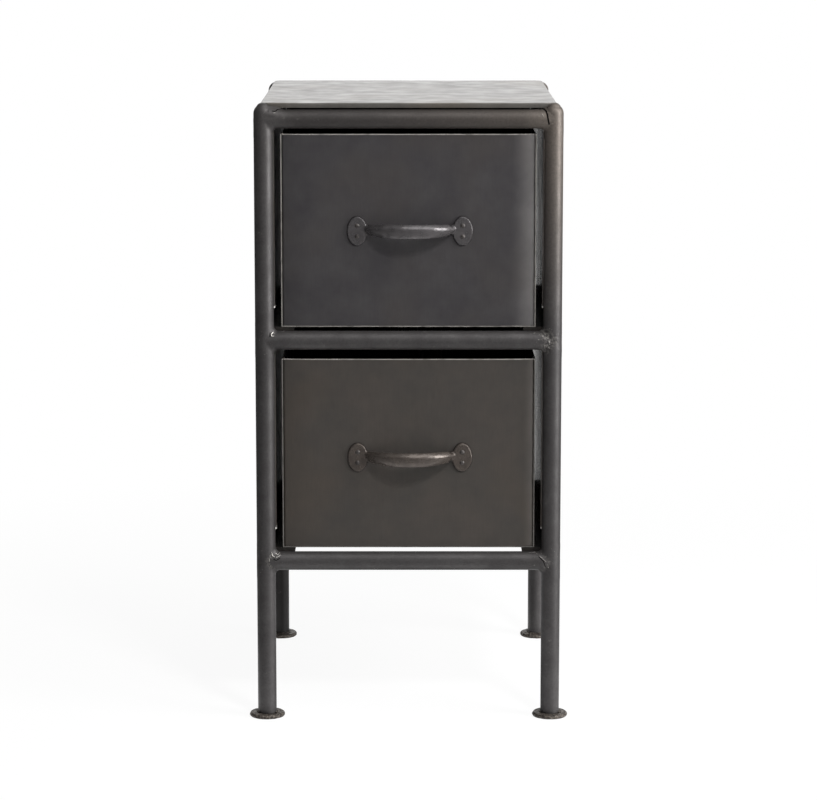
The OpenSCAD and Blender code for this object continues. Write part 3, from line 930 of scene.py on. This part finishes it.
def pull(which, seed, droop):
    """One drawer's pull. droop is how far the middle of its bow has sunk under the hammer."""
    bm = bmesh.new()
    section = bmesh.ops.create_circle(bm, segments=28, radius=1)["verts"]
    for vert in section:
        # A flattened oval, standing on edge. Its outer face is forged to two slopes that meet above the middle.
        x, y = vert.co.x, vert.co.y
        height = math.copysign(abs(y) ** 0.8, y)
        if x <= 0:
            depth = -(abs(x) ** 0.8)
        elif height > BOW_RIDGE:
            depth = 1 - ((height - BOW_RIDGE) / (1 - BOW_RIDGE)) ** 1.7
        else:
            depth = 1 - ((BOW_RIDGE - height) / (1 + BOW_RIDGE)) ** 2.1
        vert.co = Vector((BOW_R + BOW_HALF_T * depth, 0, height))
    # The bow runs on into the rosettes.
    past = math.radians(4)
    start = -math.pi / 2 - BOW_HALF_ANGLE - past
    bmesh.ops.rotate(bm, cent=(0, 0, 0), matrix=Matrix.Rotation(start, 3, "Z"), verts=section)
    bmesh.ops.spin(
        bm, geom=section + bm.edges[:], cent=(0, 0, 0), axis=(0, 0, 1), angle=2 * (BOW_HALF_ANGLE + past), steps=72
    )
    for vert in bm.verts:
        out = Vector((vert.co.x, vert.co.y, 0))
        u = (math.atan2(vert.co.y, vert.co.x) + math.pi / 2) / BOW_HALF_ANGLE
        thin = 1 - 0.2 * abs(u) ** 3
        depth = (out.length - BOW_R) * thin
        vert.co = out.normalized() * (BOW_R + depth) + Vector((0, 0, vert.co.z * bow_height(u)))
        vert.co.z -= droop * (1 - u * u)
    bmesh.ops.holes_fill(bm, edges=[e for e in bm.edges if len(e.link_faces) == 1])
    bmesh.ops.translate(bm, vec=(0, BOW_R - BOW_SAG, BOW_RISE), verts=bm.verts)
    cut = bmesh.ops.bisect_plane(
        bm, geom=bm.verts[:] + bm.edges[:] + bm.faces[:], plane_co=(0, -0.9, 0), plane_no=(0, 1, 0), clear_outer=True
    )["geom_cut"]
    bmesh.ops.holes_fill(bm, edges=[e for e in cut if isinstance(e, bmesh.types.BMEdge)])
    bmesh.ops.recalc_face_normals(bm, faces=bm.faces)
    for side in (-1, 1):
        middle = side * PULL_SPAN / 2
        disc = bmesh.ops.create_cone(
            bm, cap_ends=True, segments=64, radius1=1, radius2=0.91, depth=ROSETTE_T,
            matrix=Matrix.Translation((middle, -ROSETTE_T / 2, 0)) @ Matrix.Rotation(math.pi / 2, 4, "X"),
        )["verts"]  # fmt: skip
        for vert in disc:
            vert.co.x = middle + (vert.co.x - middle) * ROSETTE_HALF_W
            vert.co.z *= ROSETTE_HALF_H
    bm = fused(bm, 0.5, 3)
    seam = bm.verts.layers.float.new("seam")
    for vert in bm.verts:
        # Painted shade along the rosettes' feet, where they meet the drawer front.
        vert[seam] = min(1.0, max(0.0, (vert.co.y + 1.5) / 0.9))
    beaten(bm, 7, 0.22, seed)
    beaten(bm, 2.4, 0.05, seed + 1)
    bmesh.ops.translate(bm, vec=(PULL_X, DRAWER_FRONT_Y, PULL_Z[which]), verts=bm.verts)
    return put(
        bm, f"{which}_pull_forged", pull_finish[which], f"{which}_drawer", [f"{which}_drawer_pull"],
        sharp=180,
    )  # fmt: skip


for which, seed, droop in (("upper", 5, 0.0), ("lower", 8, 0.6)):
    drawer_front(which, seed)
    pull(which, seed, droop)


# ---------------------------------------------------------------------------
# Floor, light and camera
# ---------------------------------------------------------------------------
def seen_directly(tree):
    """1 for what is seen, straight, in metal or through glass, and 0 for the light that lands on things.

    A second output is 1 only for what is seen straight.
    """
    path = add(tree, "LightPath")
    seen = add(tree, "Math", [path["Is Camera Ray"], path["Is Glossy Ray"]], operation="MAXIMUM")[0]
    seen = add(tree, "Math", [seen, path["Is Transmission Ray"]], operation="MAXIMUM")[0]
    return seen, path["Is Camera Ray"]


def pale_floor():
    """A wide disc of matt white paper, which turns plain white where the camera sees it far from the cabinet."""
    bm = bmesh.new()
    bmesh.ops.create_circle(bm, cap_ends=True, segments=96, radius=30)
    mesh = bpy.data.meshes.new("floor")
    bm.to_mesh(mesh)
    bm.free()
    floor = bpy.data.objects.new("floor", mesh)
    bpy.context.scene.collection.objects.link(floor)
    paint = bpy.data.materials.new("matt_white_paper")
    paint.use_nodes = True
    tree = paint.node_tree
    tree.nodes.clear()
    where = add(tree, "TexCoord")["Object"]
    x, y = add(tree, "SeparateXYZ", [where])[:2]
    away = add(tree, "VectorMath", [where], operation="LENGTH")["Value"]
    aside, depth = (add(tree, "Math", [part], operation="ABSOLUTE")[0] for part in (x, y))
    seen, seen_straight = seen_directly(tree)
    # The paper shows the shadow close to the cabinet and is plain white further off.
    share = add(tree, "MapRange", [away, 0.25, 1.2, 0.92, 1])[0]
    share = add(tree, "Math", [seen, share], operation="MULTIPLY")[0]
    # What metal sees of the paper is painted: a painted pool of light round the cabinet and painted shade under it.
    # Metal sees it fade into the dim room further out, but for the strip that runs up to the lit backdrop straight
    # behind.
    beyond, near, strip = (
        add(tree, "Math", [add(tree, "MapRange", limits)[0] for limits in pair], operation=operation)[0]
        for operation, pair in (
            ("MAXIMUM", ([aside, 0.1, 0.2], [depth, 0.14, 0.24])),
            ("ADD", ([away, 0.26, 0.48, 1.3, 0], [away, 0.5, 1.5, 0.4, 0.15])),
            ("MULTIPLY", ([y, 0.4, 1.2, 0, 1.25], [aside, 0.5, 0.2])),
        )
    )
    beyond = add(tree, "MapRange", [beyond, 0, 1, 0.15, 1])[0]
    lit = add(tree, "Math", [near, beyond], operation="MULTIPLY")[0]
    lit = add(tree, "Math", [lit, strip], operation="MAXIMUM")[0]
    strength = add(tree, "Mix", {0: seen_straight, 2: lit, 3: 1})[0]
    paper = add(tree, "BsdfDiffuse", {"Color": linear("#f2f2f2")})[0]
    white = add(tree, "Emission", {"Color": (1, 1, 1, 1), "Strength": strength})[0]
    mixed = add(tree, "MixShader", [share, paper, white])[0]
    add(tree, "OutputMaterial", [mixed])
    mesh.materials.append(paint)


def studio_world():
    """What stands round the cabinet: a lit backdrop behind it, and a dim room."""
    world = bpy.data.worlds.new("studio")
    bpy.context.scene.world = world
    world.use_nodes = True
    tree = world.node_tree
    tree.nodes.clear()
    seen, seen_straight = seen_directly(tree)
    x, y, z = add(tree, "SeparateXYZ", [add(tree, "TexCoord")["Generated"]])
    # What metal sees: a bright backdrop straight behind, a light right side, a dark left side and a dim room in front.
    aside = add(tree, "Math", [x], operation="ABSOLUTE")[0]
    backdrop = [add(tree, "MapRange", limits)[0] for limits in ([y, 0.5, 0.95, 0, 1.7], [aside, 0.6, 0.2])]
    room = add(tree, "Math", backdrop, operation="MULTIPLY")[0]
    for limits in ([x, -0.6, 0.8, 0.08, 0.42], [z, 0.15, 0.8, 0, 0.3]):
        room = add(tree, "Math", [room, add(tree, "MapRange", limits)[0]], operation="ADD")[0]
    metal_sees = add(tree, "Mix", {0: seen_straight, 2: room, 3: 1})[0]
    # The backdrop also lights the cabinet's back, where the lamps don't reach.
    spill = add(tree, "MapRange", [y, -0.2, 0.7, 0.15, 0.75])[0]
    level = add(tree, "Mix", {0: seen, 2: spill, 3: metal_sees})[0]
    light = add(tree, "Background", {"Color": (1, 1, 1, 1), "Strength": level})[0]
    add(tree, "OutputWorld", [light])


def softbox(name, place, aim, width, height, watts, mirrored=True, shades=True):
    """A lamp behind a white cloth. It can be left out of what metal mirrors, or out of the matt light and shade."""
    lamp = bpy.data.lights.new(name, "AREA")
    lamp.shape = "RECTANGLE"
    lamp.size, lamp.size_y = width, height
    lamp.energy = watts
    made = bpy.data.objects.new(name, lamp)
    made.location = place
    made.rotation_euler = (Vector(aim) - Vector(place)).to_track_quat("-Z", "Y").to_euler()
    made.visible_camera = False
    made.visible_glossy = mirrored
    made.visible_diffuse = shades
    bpy.context.scene.collection.objects.link(made)


def camera():
    """A long lens, 3.4 m back and a little above the cabinet, looking down on it."""
    data = bpy.data.cameras.new("camera")
    data.sensor_width = 36
    data.lens = 136.99
    data.clip_end = 100
    made = bpy.data.objects.new("camera", data)
    made.location = (0, -3.4259, 0.8895)
    made.rotation_euler = (math.radians(90 - 9.5215), 0, 0)
    bpy.context.scene.collection.objects.link(made)
    bpy.context.scene.camera = made


camera()
pale_floor()
studio_world()
# A tall lamp at the right lights the cabinet, a wide one overhead is there for metal to mirror, and a small one high
# in front casts the shadows under the pulls.
softbox("key_right", (1.75, -0.85, 0.95), (0, -0.15, 0.4), 1.0, 1.9, 66)
softbox("overhead", (0.7, -1.35, 2.4), (0, -0.1, 0.35), 2.2, 1.8, 31, shades=False)
softbox("front_top", (0.8, -1.95, 2.05), (0, -0.1, 0.45), 0.4, 0.35, 57, mirrored=False)
bpy.context.scene.view_settings.view_transform = "Standard"
